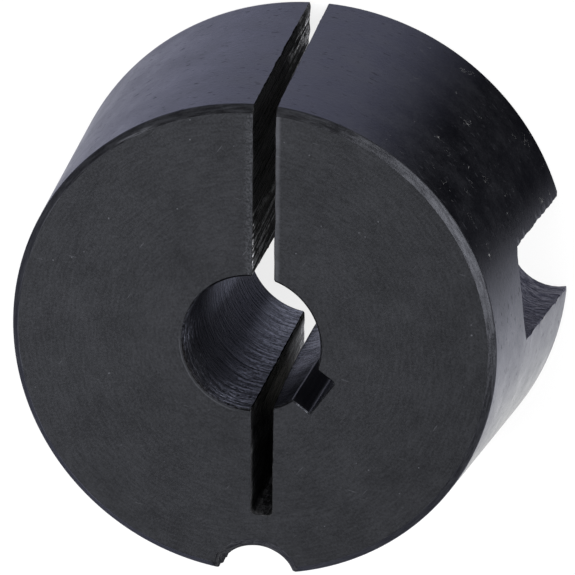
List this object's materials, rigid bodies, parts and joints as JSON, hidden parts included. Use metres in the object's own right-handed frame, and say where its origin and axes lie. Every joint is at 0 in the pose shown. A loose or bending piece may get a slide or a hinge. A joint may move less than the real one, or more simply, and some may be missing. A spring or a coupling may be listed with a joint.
{
  "type": "taper bush",
  "caption": "Split conical clamping bush with a keyed shaft bore, a saw cut with a relief slit, blind screw half-holes and a tapped jacking half-hole.",
  "frame": {"origin": "centre of the shaft bore on the large-end face, which is the plane Z = 0", "axes": "+Z along the bore axis from the large end to the small end, +Y towards the saw cut that splits the ring, +X towards the first plain half-hole, which lies 6.5 degrees round from it"},
  "size_m": [0.0382, 0.0382, 0.0223],
  "materials": {
    "black_oxide": "black oxide, satin, turned and sawn"
  },
  "bodies": {
    "root": {"taper_bush": "black_oxide"}
  },
  "joints": []
}
